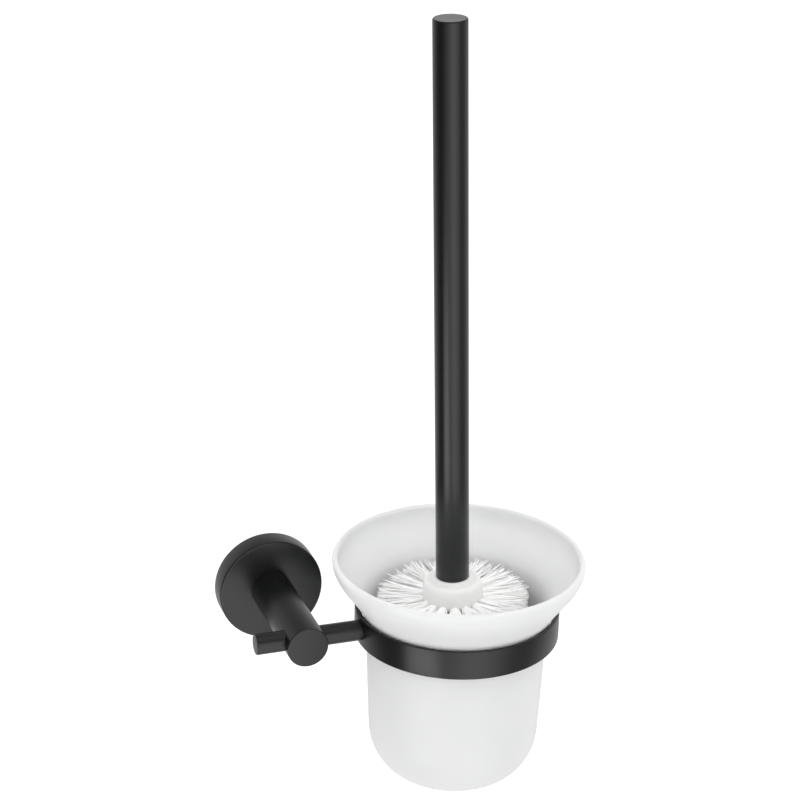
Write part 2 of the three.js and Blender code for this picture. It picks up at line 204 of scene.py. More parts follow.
def makePost():
    radius = size("post").x / 2
    rodRadius = size("cross_rod").z / 2
    foot = holder["flangeDepth"]
    front = -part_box("post")[0].y / mm
    post = turn("roundPost", [
        (0, foot), (radius, foot, holder["postFootEdge"]), (radius, front, holder["postEdge"]), (0, front),
    ], outFromWall, steps=144)
    carve(post, [
        makeCutter(rodRadius + holder["rodPlay"], -radius - past, radius + past, alongRod, steps=96),
        makeCutter(holder["screwHole"], -radius - past, 0, atRod),
        makeCutter(holder["postScrewHole"], foot - past, foot + holder["postScrewDepth"], outFromWall),
    ], bevelWidth=0.12)
    keep(post, "holder", "post", "black_coat")


def makeRod():
    radius = size("cross_rod").z / 2
    low, high = (corner.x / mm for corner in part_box("cross_rod"))
    ringRadius = size("holder_ring").x / 2
    ringSide = ringCentre.x / mm - ringRadius
    end = ringSide + radius  # too long at first, then hollowed to the ring's outside
    rod = turn("crossRod", [
        (0, low), (radius, low, holder["rodEdge"]), (radius, end), (0, end),
    ], alongRod, steps=96)
    carve(rod, [
        makeCutter(ringRadius + holder["ringPlay"], -radius - past, radius + past, aroundRing, steps=288),
        makeCutter(holder["screwHole"], ringSide - holder["ringScrewDepth"], high + radius, alongRod),
        makeCutter(holder["screwHole"], -radius - past, -radius + past, atRod),
    ], bevelWidth=0.1)
    keep(rod, "holder", "cross_rod", "black_coat")


def makeRing():
    radius = size("holder_ring").x / 2
    half = size("holder_ring").z / 2
    bore = radius - holder["ringWall"]
    edge, seat = holder["ringEdge"], holder["ringSeat"]
    ring = turn("holderRing", [
        (bore, -half, edge), (radius, -half, edge), (radius, half, edge),
        (bore + seat, half, holder["seatTopEdge"]), (bore, half - seat, holder["seatLowEdge"]),
    ], aroundRing, steps=288, closed=True)
    hole = holder["screwHole"]
    inside = ringCentre.x / mm - bore
    sinkTop = size("ring_screw").z / 2 + holder["ringSinkSpread"]
    carve(ring, [
        makeCutter(hole, inside - holder["ringHoleOut"], inside + holder["ringHoleIn"], alongRod),
        makeCutter(hole, inside - holder["ringSinkDepth"], inside + past, alongRod, radiusTop=sinkTop),
    ], bevelWidth=0.1)
    keep(ring, "holder", "holder_ring", "black_coat")


screws = {
    "radius": 2, "edge": 0.25, "point": 0.5, "socket": 1.15, "socketDepth": 1.4,
    "headDepth": 1.6, "headEdge": 0.15, "headSocket": 1.35,
}


def makeSetScrew(name, node):
    radius, point = screws["radius"], screws["point"]
    low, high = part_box(node)
    place = Matrix.Translation((middle(node).x, middle(node).y, low.z))
    length = (high.z - low.z) / mm
    screw = turn(name, [
        (0, 0), (radius, 0, screws["edge"]), (radius, length - radius + point), (point, length),
        (0, length),
    ], place, steps=48)
    socket = makeCutter(screws["socket"], -past, screws["socketDepth"], place, steps=6)
    carve(screw, [socket], bevelWidth=0.06)
    keep(screw, "holder", node, "screw_steel")


def makeRingScrew():
    radius = screws["radius"]
    low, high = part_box("ring_screw")
    place = Matrix.Translation((low.x, ringCentre.y, ringCentre.z)) @ towardsRing
    length = (high.x - low.x) / mm
    head = (high.z - low.z) / 2 / mm
    screw = turn("ringScrew", [
        (0, 0), (radius, 0, screws["edge"]), (radius, length - screws["headDepth"]),
        (head, length, screws["headEdge"]), (0, length),
    ], place, steps=64)
    socket = makeCutter(screws["headSocket"], length - screws["socketDepth"], length + past, place, steps=6)
    carve(screw, [socket], bevelWidth=0.06)
    keep(screw, "holder", "ring_screw", "screw_steel")


cup = {
    "lowRadius": 41.6, "cornerWidth": 21.3, "cornerHeight": 25.6, "bodyHeight": 77.6,
    "neckRadius": 43.9, "flareHeight": 35.5, "wall": 3.5, "floor": 4.5, "lip": 2, "lipWidth": 3,
    "cornerSteps": 18, "flareSteps": 26, "lipSteps": 14,
    # how the flare curves, in shares of its width and height from the neck
    "outerLow": (0.06, 0.49), "outerHigh": 0.72,
    "innerHigh": (0.07, 0.66), "innerLow": (0.03, 0.66), "innerEnd": 0.04,
}


# The rounded corner at the cup's foot, outside or inside.
def makeCorner(width, height, base):
    foot = cup["lowRadius"] - cup["cornerWidth"]
    turns = [quarterTurn * step / cup["cornerSteps"] for step in range(cup["cornerSteps"] + 1)]
    return [(foot + width * math.sin(t), base + height * (1 - math.cos(t))) for t in turns]


def makeFlare(*corners):
    curve = interpolate_bezier(*[Vector((*corner, 0)) for corner in corners], cup["flareSteps"])
    return [point[:2] for point in curve]


def makeCup():
    rim = size("glass_cup").x / 2
    body, neckOutside = cup["bodyHeight"], cup["neckRadius"]
    neckInside = neckOutside - cup["wall"]
    top = body + cup["flareHeight"]
    lipInside = rim - cup["lipWidth"]
    lipHalf = cup["lipWidth"] / 2
    flareOut = rim - neckOutside

    def level(share):
        return body + share * cup["flareHeight"]

    outside = makeFlare((neckOutside, body),
                        (neckOutside + cup["outerLow"][0] * flareOut, level(cup["outerLow"][1])),
                        (rim, level(cup["outerHigh"])), (rim, top))
    inside = makeFlare((lipInside, top),
                       (lipInside - cup["innerHigh"][0] * flareOut, level(cup["innerHigh"][1])),
                       (neckInside + cup["innerLow"][0] * flareOut, level(cup["innerLow"][1])),
                       (neckInside, level(cup["innerEnd"])))
    lipTurns = [math.pi * step / cup["lipSteps"] for step in range(1, cup["lipSteps"])]
    lip = [(rim - lipHalf + lipHalf * math.cos(t), top + cup["lip"] * math.sin(t)) for t in lipTurns]
    corner = makeCorner(cup["cornerWidth"], cup["cornerHeight"], 0)
    innerCorner = makeCorner(cup["cornerWidth"] - cup["wall"], cup["cornerHeight"] - cup["floor"],
                             cup["floor"])
    outline = [(0, 0), *corner, *outside, *lip, *inside, *reversed(innerCorner), (0, cup["floor"])]
    glass = turn("glassCup", outline, upFromCup, steps=192, smoothAngle=60)
    keep(glass, "cup", "glass_cup", "frosted_glass")


brush = {
    "handleRadius": 8, "handleWall": 1.2, "boreEdge": 0.2, "endEdge": 0.3, "seam": 0.015,
    "capGap": 0.3, "capThickness": 2.2, "capPlug": 8, "capPlay": 0.3, "plugEdge": 0.4, "capEdge": 0.8,
    "hubRadius": 14.5, "hubBottom": 85.8, "hubRound": 10, "hubSteps": 10, "shoulderSteps": 14,
    "stud": 3.3, "studDepth": 19, "collar": 9, "collarEdge": 0.3, "handleGap": 0.02,
    # the hub's top: depths under the handle, and for the bead and its bend the radius first
    "shoulder": 8.5, "shoulderBend": 4.4, "beadBend": (14, 1.5), "bead": (11.8, 1.3),
    "dip": ((1.1, 1.6, 0.3), (0.2, 1.7, 0.2)),  # out from the collar, depth, rounding
}

# The brush leans in the cup, and its heights run up its own axis from the handle's lower end.
straightUp = Vector((0, 0, 1))
tubeMiddle = middle("handle_tube")
brushUp = (tubeMiddle - middle("threaded_stud")).normalized()
lean = brushUp.angle(straightUp)
tubeLength = (size("handle_tube").z - 2 * brush["handleRadius"] * math.sin(lean)) / math.cos(lean)
brushTurn = straightUp.rotation_difference(brushUp).to_matrix().to_4x4()
upFromHandle = Matrix.Translation(tubeMiddle - brushUp * tubeLength / 2 * mm) @ brushTurn
toBrush = upFromHandle.inverted()


def makeHandle():
    radius = brush["handleRadius"]
    bore = radius - brush["handleWall"]
    plug = bore - brush["capPlay"]
    under = tubeLength + brush["capGap"]
    top = under + brush["capThickness"]
    tube = turn("handleTube", [
        (bore, 0, brush["boreEdge"]), (radius, 0, brush["endEdge"]), (radius, under - brush["seam"]),
        (bore, under - brush["seam"]),
    ], upFromHandle, closed=True)
    keep(tube, "brush", "handle_tube", "black_coat")
    endCap = turn("handleEndCap", [
        (0, under - brush["capPlug"]), (plug, under - brush["capPlug"], brush["plugEdge"]), (plug, under),
        (radius, under), (radius, top, brush["capEdge"]), (0, top),
    ], upFromHandle)
    keep(endCap, "brush", "handle_end_cap", "black_coat")


def makeHub():
    radius, roundness, steps = brush["hubRadius"], brush["hubRound"], brush["hubSteps"]
    turns = [quarterTurn * step / steps for step in range(steps + 1)]
    bottom = [(radius * math.sin(t), -brush["hubBottom"] + roundness * (1 - math.cos(t))) for t in turns]
    shoulder = interpolate_bezier(*[Vector((out, -depth, 0)) for out, depth in (
        (radius, brush["shoulder"]), (radius, brush["shoulderBend"]), brush["beadBend"], brush["bead"],
    )], brush["shoulderSteps"])
    collar, stud = brush["collar"], brush["stud"]
    dip = [(collar + out, -depth, rounding) for out, depth, rounding in brush["dip"]]
    hub = turn("brushHub", [
        *bottom, *[point[:2] for point in shoulder], *dip,
        (collar, -brush["handleGap"], brush["collarEdge"]), (stud, -brush["handleGap"]),
        (stud, -brush["studDepth"]), (0, -brush["studDepth"]),
    ], upFromHandle, smoothAngle=50)
    keep(hub, "brush", "brush_hub", "hub_plastic")


bristles = {
    "tuftsPerRow": 17, "filaments": 76, "topFilaments": 290, "variants": 5, "seed": 27,
    "filamentRadius": 0.25, "steps": 4, "tipShare": 0.55, "length": 24, "shortest": 0.8,
    "bend": (0.04, 0.3),  # radians
    "clumps": 7, "pull": (0.1, 0.45), "stray": 0.12,
    "fan": (13, -9, 9), "topFan": (17, -18, 4),  # to the sides, lowest, highest
    "hole": 1.5, "rootDepth": 1.5, "rowRise": 0.4, "tilt": 3,
    "wander": 0.02, "tipRoll": 6.28,  # radians
    "shortTuft": 0.94, "rowSpare": 0.2, "topSpare": 1.1, "longestTuft": 40, "lengthStep": 0.25,
    # the tip's rings of tufts, as (tufts, slope under level), each turned on by its slope's number so
    # that the tufts don't line up
    "tipRings": ((20, 9), (18, 19), (16, 30), (13, 44), (9, 59), (5, 75), (1, 90)),
}


# One filament along +X: a three-sided tube bent by a spin, thinner at its end.
def addFilament(bm, rng, length, fanSide, fanUp):
    ring = bmesh.ops.create_circle(bm, segments=3, radius=bristles["filamentRadius"])["verts"]
    bmesh.ops.rotate(bm, cent=(0, 0, 0), matrix=Matrix.Rotation(quarterTurn, 3, "Y"), verts=ring)
    edges = list({edge for vert in ring for edge in vert.link_edges})
    before = set(bm.verts)
    bend = rng.uniform(*bristles["bend"])
    last = bmesh.ops.spin(bm, geom=ring + edges, cent=(0, length / bend, 0), axis=(0, 0, 1),
                          dvec=(0, 0, 0), angle=bend, steps=bristles["steps"])["geom_last"]
    end = [item for item in last if isinstance(item, bmesh.types.BMVert)]
    tip = sum((vert.co for vert in end), Vector()) / len(end)
    bmesh.ops.scale(bm, vec=[bristles["tipShare"]] * 3, space=Matrix.Translation(-tip), verts=end)
    bmesh.ops.contextual_create(bm, geom=end)
    verts = ring + [vert for vert in bm.verts if vert not in before]
    hole = bristles["hole"]
    distance = hole * math.sqrt(rng.random())
    around = rng.uniform(0, fullTurn)
    side, up = distance * math.cos(around), distance * math.sin(around)
    spin = Matrix.Rotation(rng.uniform(0, fullTurn), 4, "X")
    swing = Matrix.Rotation(fanSide(side / hole), 4, "Z") @ Matrix.Rotation(-fanUp(up / hole), 4, "Y")
    place = Matrix.Translation((0, side, up)) @ swing @ spin
    bmesh.ops.transform(bm, matrix=place, verts=verts)


# A tuft is gathered into a few clumps, so that its filaments lean together in groups.
def makeTuft(rng, filaments, fan):
    sideFan, lowFan, highFan = fan
    bm = bmesh.new()
    clumps = [(rng.uniform(-1, 1), rng.uniform(-1, 1)) for _ in range(bristles["clumps"])]
    for _ in range(filaments):
        clumpSide, clumpUp = rng.choice(clumps)
        pull = rng.uniform(*bristles["pull"])
        stray = rng.gauss(0, bristles["stray"])

        def fanSide(share):
            return math.radians(sideFan) * (share * (1 - pull) + clumpSide * pull + stray)

        def fanUp(share):
            lift = (share * (1 - pull) + clumpUp * pull + stray + 1) / 2
            return math.radians(lowFan + (highFan - lowFan) * lift)

        length = bristles["length"] * rng.uniform(bristles["shortest"], 1)
        addFilament(bm, rng, length, fanSide, fanUp)
    bmesh.ops.recalc_face_normals(bm, faces=bm.faces)
    tuft = bpy.data.meshes.new("tuft")
    bm.to_mesh(tuft)
    bm.free()
    return tuft


# How far the bristles may reach from the brush's axis at a height, read off the frame's own solids.
def readReach():
    reach = {}
    for name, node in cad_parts.items():
        if name.startswith("bristle_"):
            for vert in node.data.vertices:
                point = toBrush @ vert.co / mm
                height = round(point.z, 1)
                reach[height] = max(reach.get(height, 0), math.hypot(point.x, point.y))
    return sorted(reach.items())


def reachAt(reach, height):
    if height <= reach[0][0]:
        return 0
    for (low, lowReach), (high, highReach) in zip(reach, reach[1:]):
        if height <= high:
            return lowReach + (highReach - lowReach) * (height - low) / max(high - low, 0.01)
    return reach[-1][1]


# Longest tuft that starts at a point of the hub, in a direction, and stays inside the reach.
def tuftLength(reach, root, direction):
    length = 0
    while length < bristles["longestTuft"]:
        point = root + direction * (length + bristles["lengthStep"])
        if math.hypot(point.x, point.y) > reachAt(reach, point.z):
            break
        length += bristles["lengthStep"]
    return length


def addTuft(bm, tuft, root, direction, length, roll=0):
    start = len(bm.verts)
    bm.from_mesh(tuft)
    bm.verts.ensure_lookup_table()
    side = straightUp.cross(direction)
    side = side.normalized() if side.length > 0.01 else Vector((0, 1, 0))
    up = direction.cross(side)
    turnTo = Matrix((direction, side, up)).transposed().to_4x4()
    stretch = Matrix.Diagonal((length / bristles["length"], 1, 1, 1))
    place = Matrix.Translation(root) @ turnTo @ Matrix.Rotation(roll, 4, "X") @ stretch
    bmesh.ops.transform(bm, matrix=place, verts=bm.verts[start:])


def makeRow(rng, number, node, tufts, spare, reach):
    top = max((toBrush @ vert.co).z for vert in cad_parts[node].data.vertices) / mm
    level = top - bristles["hole"] + bristles["rowRise"]
    count, wander, tiltLimit = bristles["tuftsPerRow"], bristles["wander"], bristles["tilt"]
    bm = bmesh.new()
    for place in range(count):
        angle = fullTurn * (place + 0.5 * (number % 2)) / count + rng.uniform(-wander, wander)
        tilt = math.radians(rng.uniform(-tiltLimit, tiltLimit))
        direction = Vector((math.cos(angle) * math.cos(tilt), math.sin(angle) * math.cos(tilt),
                            math.sin(tilt)))
        root = Vector((math.cos(angle), math.sin(angle), 0)) * (brush["hubRadius"] - bristles["rootDepth"])
        root.z = level
        length = tuftLength(reach, root, direction) + spare
        length *= rng.uniform(bristles["shortTuft"], 1)
        addTuft(bm, rng.choice(tufts), root, direction, length)
    row = toObject(bm, f"bristleRow{number + 1}", upFromHandle)
    keep(row, "brush", node, "bristle_nylon")


# Under the hub the tufts stand square to its rounded bottom.
def makeTip(rng, tufts, reach):
    centre = -brush["hubBottom"] + brush["hubRound"]
    inset = brush["hubRadius"] - bristles["rootDepth"]
    bm = bmesh.new()
    for count, slope in bristles["tipRings"]:
        for place in range(count):
            angle = fullTurn * (place + 0.5) / count + slope
            out, down = math.cos(math.radians(slope)), math.sin(math.radians(slope))
            direction = Vector((math.cos(angle) * out, math.sin(angle) * out, -down))
            root = Vector((math.cos(angle) * out * inset, math.sin(angle) * out * inset,
                           centre - down * (brush["hubRound"] - bristles["rootDepth"])))
            length = tuftLength(reach, root, direction)
            addTuft(bm, rng.choice(tufts), root, direction, length,
                    roll=rng.uniform(0, bristles["tipRoll"]))
    tip = toObject(bm, "bristleTip", upFromHandle)
    keep(tip, "brush", "bristle_tip", "bristle_nylon")


def makeBristles():
    rng = random.Random(bristles["seed"])
    reach = readReach()
    plain = [makeTuft(rng, bristles["filaments"], bristles["fan"]) for _ in range(bristles["variants"])]
    upper = [makeTuft(rng, bristles["topFilaments"], bristles["topFan"])
             for _ in range(bristles["variants"])]
    rows = sorted(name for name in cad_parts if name.startswith("bristle_row_"))
    for number, node in enumerate(rows):
        if number == 0:
            makeRow(rng, number, node, upper, bristles["topSpare"], reach)
        else:
            makeRow(rng, number, node, plain, bristles["rowSpare"], reach)
    makeTip(rng, plain, reach)
    for tuft in plain + upper:
        bpy.data.meshes.remove(tuft)


def linear(hexColour):
    channels = [int(hexColour[place:place + 2], 16) / 255 for place in (1, 3, 5)]
    return (*[c / 12.92 if c <= 0.04045 else ((c + 0.055) / 1.055) ** 2.4 for c in channels], 1)


# Adds a node, with its settings (a socket by name or number, or a property) and its links. In a Mix
# node 2 and 3 are the two plain values, 6 and 7 the two colours.
def addNode(tree, kind, settings=None, links=None):
    node = tree.nodes.new(kind)
    for key, value in (settings or {}).items():
        if isinstance(key, int) or key in node.inputs:
            node.inputs[key].default_value = value
        else:
            setattr(node, key, value)
    for key, source in (links or {}).items():
        tree.links.new(source, node.inputs[key])
    return node


def startMaterial(name):
    material = bpy.data.materials.new(name)
    material.use_nodes = True
    tree = material.node_tree
    tree.nodes.clear()
    coords = addNode(tree, "ShaderNodeTexCoord").outputs["Object"]
    return material, tree, coords


def perMetre(millimetres):
    return 1 / (millimetres * mm)


# Matte black polyester powder coat on metal: a fine leathery grain that breaks up the reflections.
powderCoat = {
    "dark": "#0b0c0d", "light": "#101112", "smooth": 0.26, "rough": 0.33, "ior": 1.5, "patch": 38,
    "grain": 0.9,  # the real grain is about 0.3, drawn coarser so that it shows
    "speck": 1.6, "speckShare": 0.35, "bump": 0.22, "bumpHeight": 0.03,
}


def makePowderCoat():
    coat = powderCoat
    material, tree, coords = startMaterial("powderCoatMatteBlack")
    patches = addNode(tree, "ShaderNodeTexNoise", {"Scale": perMetre(coat["patch"]), "Detail": 3},
                      {"Vector": coords})
    grain = addNode(tree, "ShaderNodeTexNoise", {
        "Scale": perMetre(coat["grain"]), "Detail": 2, "Roughness": 0.6}, {"Vector": coords})
    specks = addNode(tree, "ShaderNodeTexVoronoi", {"Scale": perMetre(coat["speck"])}, {"Vector": coords})
    tone = addNode(tree, "ShaderNodeMix", {
        "data_type": "RGBA", 6: linear(coat["dark"]), 7: linear(coat["light"])},
        {0: patches.outputs["Fac"]})
    gloss = addNode(tree, "ShaderNodeMapRange", {"To Min": coat["smooth"], "To Max": coat["rough"]},
                    {"Value": grain.outputs["Fac"]})
    height = addNode(tree, "ShaderNodeMath", {"operation": "MULTIPLY_ADD", 1: coat["speckShare"]},
                     {0: specks.outputs["Distance"], 2: grain.outputs["Fac"]})
    bump = addNode(tree, "ShaderNodeBump", {
        "Strength": coat["bump"], "Distance": coat["bumpHeight"] * mm}, {"Height": height.outputs[0]})
    shader = addNode(tree, "ShaderNodeBsdfPrincipled", {"IOR": coat["ior"]}, {
        "Base Color": tone.outputs[2], "Roughness": gloss.outputs[0], "Normal": bump.outputs[0]})
    addNode(tree, "ShaderNodeOutputMaterial", links={"Surface": shader.outputs[0]})
    return material


# Soda-lime glass, acid-etched to a satin: milky, lets light through but no image, silky to the touch.
etchedGlass = {
    "dark": "#eff0f0", "light": "#f6f6f6", "smooth": 0.42, "rough": 0.5, "ior": 1.52, "cloud": 30,
    "pit": 0.7,  # real etch pits are hundredths of a millimetre, drawn coarser so that they show
    "clear": 0.3, "milk": 1, "milkDepth": 1.5, "bump": 0.12, "bumpHeight": 0.02,
}


def makeEtchedGlass():
    glass = etchedGlass
    material, tree, coords = startMaterial("glassSatinEtched")
    clouds = addNode(tree, "ShaderNodeTexNoise", {"Scale": perMetre(glass["cloud"]), "Detail": 2},
                     {"Vector": coords})
    pits = addNode(tree, "ShaderNodeTexNoise", {"Scale": perMetre(glass["pit"]), "Detail": 2},
                   {"Vector": coords})
    tone = addNode(tree, "ShaderNodeMix", {
        "data_type": "RGBA", 6: linear(glass["dark"]), 7: linear(glass["light"])},
        {0: clouds.outputs["Fac"]})
    gloss = addNode(tree, "ShaderNodeMapRange", {"To Min": glass["smooth"], "To Max": glass["rough"]},
                    {"Value": pits.outputs["Fac"]})
    bump = addNode(tree, "ShaderNodeBump", {
        "Strength": glass["bump"], "Distance": glass["bumpHeight"] * mm}, {"Height": pits.outputs["Fac"]})
    shader = addNode(tree, "ShaderNodeBsdfPrincipled", {
        "IOR": glass["ior"], "Transmission Weight": glass["clear"], "Subsurface Weight": glass["milk"],
        "Subsurface Radius": (1, 1, 1), "Subsurface Scale": glass["milkDepth"] * mm,
    }, {"Base Color": tone.outputs[2], "Roughness": gloss.outputs[0], "Normal": bump.outputs[0]})
    addNode(tree, "ShaderNodeOutputMaterial", links={"Surface": shader.outputs[0]})
    return material


# Injection-moulded polypropylene: white with a little depth, satin, faint flow marks.
hubPlastic = {
    "dark": "#e2e2e1", "light": "#ebebea", "smooth": 0.34, "rough": 0.46, "flow": 9, "flowBend": 1.5,
    "grain": 0.8, "depthShare": 0.25, "depth": 1.2, "bump": 0.1, "bumpHeight": 0.02,
}


def makeHubPlastic():
    plastic = hubPlastic
    material, tree, coords = startMaterial("polypropyleneMouldedWhite")
    flow = addNode(tree, "ShaderNodeTexNoise", {
        "Scale": perMetre(plastic["flow"]), "Detail": 3, "Distortion": plastic["flowBend"]},
        {"Vector": coords})
    grain = addNode(tree, "ShaderNodeTexNoise", {"Scale": perMetre(plastic["grain"]), "Detail": 2},
                    {"Vector": coords})
    tone = addNode(tree, "ShaderNodeMix", {
        "data_type": "RGBA", 6: linear(plastic["dark"]), 7: linear(plastic["light"])},
        {0: flow.outputs["Fac"]})
    gloss = addNode(tree, "ShaderNodeMapRange", {"To Min": plastic["smooth"], "To Max": plastic["rough"]},
                    {"Value": flow.outputs["Fac"]})
    bump = addNode(tree, "ShaderNodeBump", {
        "Strength": plastic["bump"], "Distance": plastic["bumpHeight"] * mm},
        {"Height": grain.outputs["Fac"]})
    shader = addNode(tree, "ShaderNodeBsdfPrincipled", {
        "Subsurface Weight": plastic["depthShare"], "Subsurface Radius": (1, 1, 1),
        "Subsurface Scale": plastic["depth"] * mm,
    }, {"Base Color": tone.outputs[2], "Roughness": gloss.outputs[0], "Normal": bump.outputs[0]})
    addNode(tree, "ShaderNodeOutputMaterial", links={"Surface": shader.outputs[0]})
    return material


# Extruded nylon monofilament: white and soft-looking, each one a little lighter or darker.
nylon = {"dark": "#f7f7f6", "light": "#ffffff", "smooth": 0.5, "rough": 0.7, "ior": 1.53, "strand": 1.4}


def makeNylon():
    material, tree, coords = startMaterial("nylonFilamentWhite")
    strands = addNode(tree, "ShaderNodeTexNoise", {"Scale": perMetre(nylon["strand"]), "Detail": 1},
                      {"Vector": coords})
    tone = addNode(tree, "ShaderNodeMix", {
        "data_type": "RGBA", 6: linear(nylon["dark"]), 7: linear(nylon["light"])},
        {0: strands.outputs["Fac"]})
    gloss = addNode(tree, "ShaderNodeMapRange", {"To Min": nylon["smooth"], "To Max": nylon["rough"]},
                    {"Value": strands.outputs["Fac"]})
    shader = addNode(tree, "ShaderNodeBsdfPrincipled", {"IOR": nylon["ior"]}, {
        "Base Color": tone.outputs[2], "Roughness": gloss.outputs[0]})
    addNode(tree, "ShaderNodeOutputMaterial", links={"Surface": shader.outputs[0]})
    return material


# Turned stainless steel: bright, with fine rings left by the tool.
turnedSteel = {
    "dark": "#a7a8a9", "light": "#c2c3c5", "smooth": 0.24, "rough": 0.42,
    "mark": 0.3,  # real tool marks are about 0.1 apart, drawn coarser so that they show
    "bump": 0.15, "bumpHeight": 0.01,
}


def makeScrewSteel():
    steel = turnedSteel
    material, tree, coords = startMaterial("stainlessSteelTurned")
    marks = addNode(tree, "ShaderNodeTexNoise", {"Scale": perMetre(steel["mark"]), "Detail": 2},
                    {"Vector": coords})
    gloss = addNode(tree, "ShaderNodeMapRange", {"To Min": steel["smooth"], "To Max": steel["rough"]},
                    {"Value": marks.outputs["Fac"]})
    tone = addNode(tree, "ShaderNodeMix", {
        "data_type": "RGBA", 6: linear(steel["dark"]), 7: linear(steel["light"])},
        {0: marks.outputs["Fac"]})
    bump = addNode(tree, "ShaderNodeBump", {
        "Strength": steel["bump"], "Distance": steel["bumpHeight"] * mm}, {"Height": marks.outputs["Fac"]})
    shader = addNode(tree, "ShaderNodeBsdfPrincipled", {"Metallic": 1}, {
        "Base Color": tone.outputs[2], "Roughness": gloss.outputs[0], "Normal": bump.outputs[0]})
    addNode(tree, "ShaderNodeOutputMaterial", links={"Surface": shader.outputs[0]})
    return material


# Die-cast zinc, tumbled: dull grey with soft mottling and a slightly pitted skin.
castZinc = {
    "dark": "#85888b", "light": "#a6a9ab", "smooth": 0.4, "rough": 0.6, "mottle": 6, "pit": 0.9,
    "bump": 0.25, "bumpHeight": 0.03,
}


def makeCastZinc():
    zinc = castZinc
    material, tree, coords = startMaterial("zincDieCast")
    mottle = addNode(tree, "ShaderNodeTexNoise", {"Scale": perMetre(zinc["mottle"]), "Detail": 4},
                     {"Vector": coords})
    pits = addNode(tree, "ShaderNodeTexVoronoi", {"Scale": perMetre(zinc["pit"])}, {"Vector": coords})
    tone = addNode(tree, "ShaderNodeMix", {
        "data_type": "RGBA", 6: linear(zinc["dark"]), 7: linear(zinc["light"])},
        {0: mottle.outputs["Fac"]})
    gloss = addNode(tree, "ShaderNodeMapRange", {"To Min": zinc["smooth"], "To Max": zinc["rough"]},
                    {"Value": mottle.outputs["Fac"]})
    bump = addNode(tree, "ShaderNodeBump", {
        "Strength": zinc["bump"], "Distance": zinc["bumpHeight"] * mm},
        {"Height": pits.outputs["Distance"]})
    shader = addNode(tree, "ShaderNodeBsdfPrincipled", {"Metallic": 1}, {
        "Base Color": tone.outputs[2], "Roughness": gloss.outputs[0], "Normal": bump.outputs[0]})
    addNode(tree, "ShaderNodeOutputMaterial", links={"Surface": shader.outputs[0]})
    return material


# Matt white paper, uncoated: flat and even with hardly any sheen. It lies well under the object.
floorPaper = {
    "dark": "#fafafa", "light": "#fefefe", "rough": 0.9, "sheen": 0.1, "fibre": 60, "across": 14000,
    "drop": 420,
}


def makeFloor():
    paper = floorPaper
    bm = bmesh.new()
    bmesh.ops.create_grid(bm, x_segments=1, y_segments=1, size=paper["across"] / 2)
    bmesh.ops.translate(bm, vec=(0, 0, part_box("glass_cup")[0].z / mm - paper["drop"]), verts=bm.verts)
    floor = toObject(bm, "floor", Matrix.Identity(4))
    material, tree, coords = startMaterial("paperWhite")
    fibres = addNode(tree, "ShaderNodeTexNoise", {"Scale": perMetre(paper["fibre"]), "Detail": 2},
                     {"Vector": coords})
    tone = addNode(tree, "ShaderNodeMix", {
        "data_type": "RGBA", 6: linear(paper["dark"]), 7: linear(paper["light"])},
        {0: fibres.outputs["Fac"]})
    shader = addNode(tree, "ShaderNodeBsdfPrincipled", {
        "Roughness": paper["rough"], "Specular IOR Level": paper["sheen"]}, {"Base Color": tone.outputs[2]})
    addNode(tree, "ShaderNodeOutputMaterial", links={"Surface": shader.outputs[0]})
    floor.data.materials.append(material)
    floor.visible_glossy = False


# The surroundings are split by kind of ray: a soft fill for the white pieces, a ring of light and dark
# for what the black pieces mirror, and plain white behind the object.
surroundings = {
    "sideFill": 1.14, "skyFill": 1.27, "zenith": 0.3, "backdrop": 1,
    "zenithFrom": 0.2, "zenithTo": 0.75,  # where the sky takes over, from 0 level to 1 straight up
    # how bright the ring is, by the angle from straight in front of the object towards the ring's
    # side: a dark corner at the left, the main window just right of the camera
    "ring": [(-180, 0.8), (-136, 0.62), (-112, 0.2), (-86, 0.05), (-66, 0.12), (-46, 0.56), (-21, 1.28),
             (-3, 1.92), (19, 1.44), (46, 0.4), (69, 0.32), (93, 0.7), (180, 0.8)],
}


